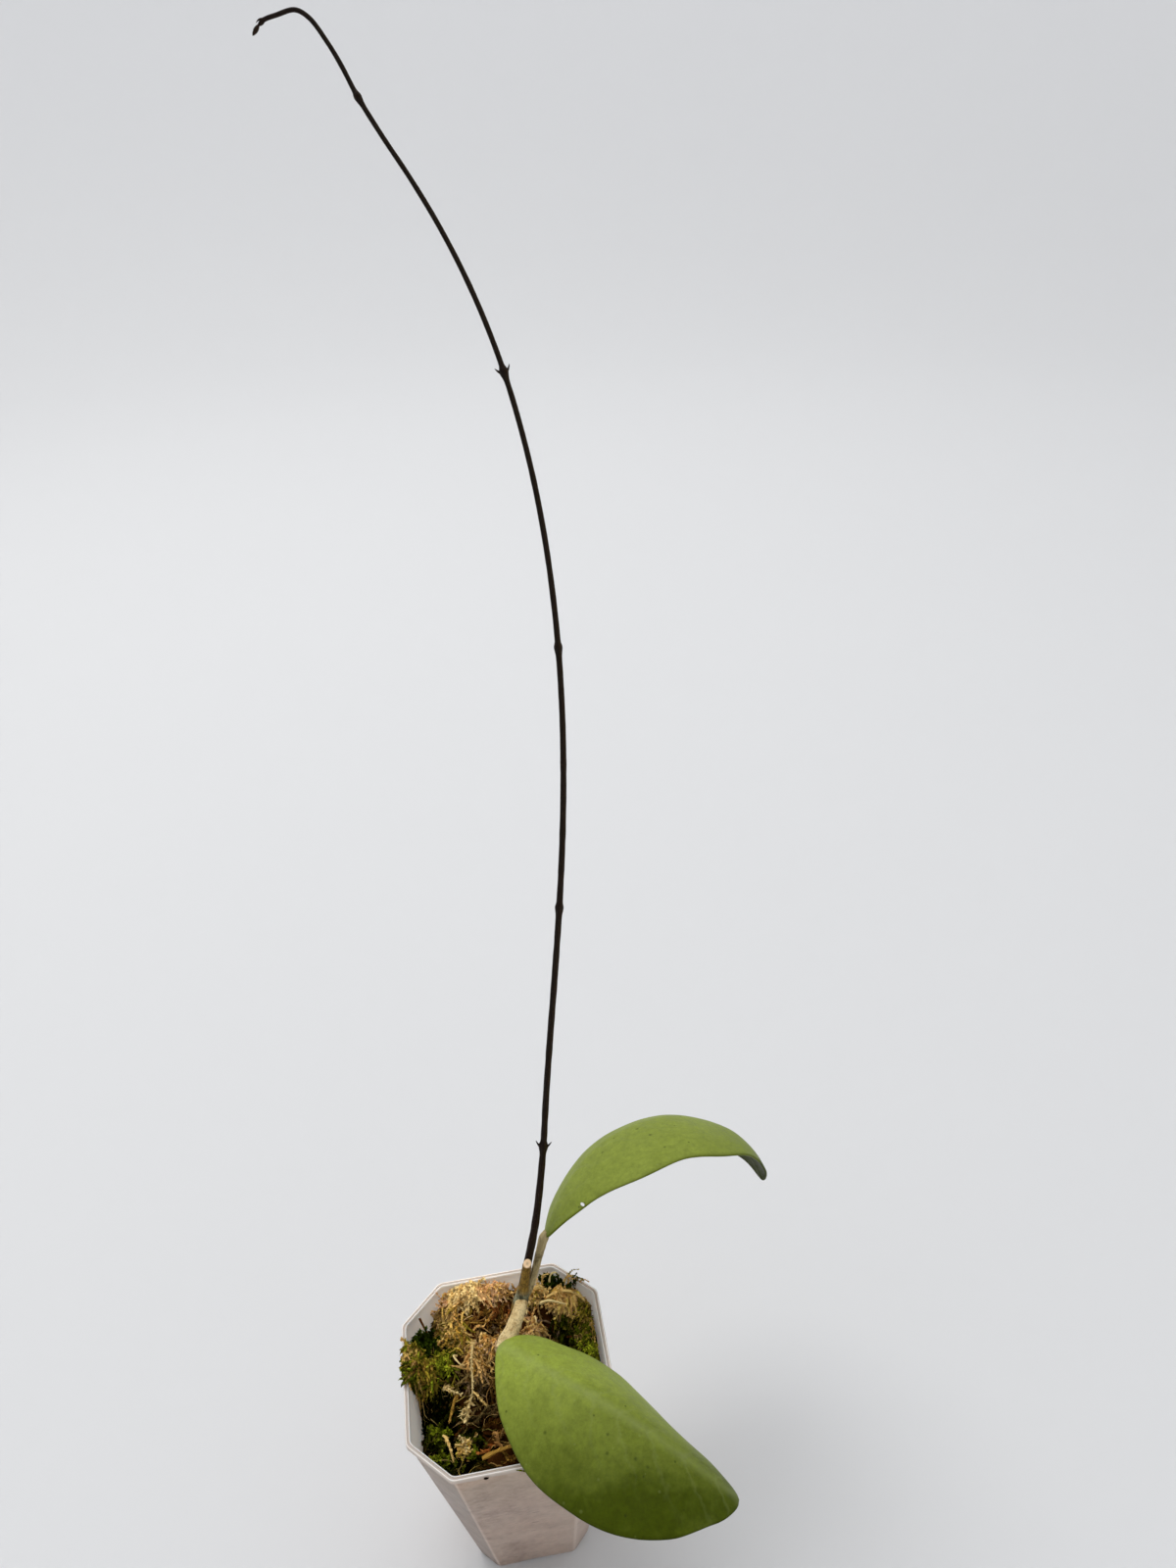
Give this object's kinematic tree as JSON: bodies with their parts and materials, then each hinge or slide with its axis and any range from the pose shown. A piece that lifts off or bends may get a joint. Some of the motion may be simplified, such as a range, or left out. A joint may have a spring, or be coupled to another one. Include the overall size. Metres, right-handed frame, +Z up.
{
  "type": "potted hoya erythrostemma cutting",
  "caption": "Young hoya cutting in a tall clear square nursery pot of sphagnum moss, with thick drip-tipped leaves and a long bare climbing runner.",
  "frame": {"origin": "middle of the pot's base, on the surface that it stands on", "axes": "+Z up; -Y is the pot's front, where the large leaf hangs over the rim; +X is the side that both leaves point to"},
  "size_m": [0.1112, 0.1993, 0.3848],
  "materials": {
    "pot_plastic": "thin frosted clear polypropylene, faintly scuffed",
    "moss_tan": "dry tan and brown sphagnum moss strands",
    "moss_green": "damp olive and dark green sphagnum moss",
    "old_stem": "grey-green waxy stem with a corky skin and a dry cut end",
    "leaf_stalk": "cream to grey-beige corky stalk with fine dark specks",
    "leaf": "thick waxy leaf, satin, faintly mottled, with a pale midrib",
    "runner": "near-black brown shoot, satin, with a faint olive tint"
  },
  "bodies": {
    "root": {"pot": "pot_plastic", "moss_tan": "moss_tan", "moss_green_left": "moss_green", "moss_green_right": "moss_green", "old_stem": "old_stem", "front_leaf_stalk": "leaf_stalk", "back_leaf_stalk": "leaf_stalk", "front_leaf": "leaf", "back_leaf": "leaf", "runner": "runner"}
  },
  "joints": []
}
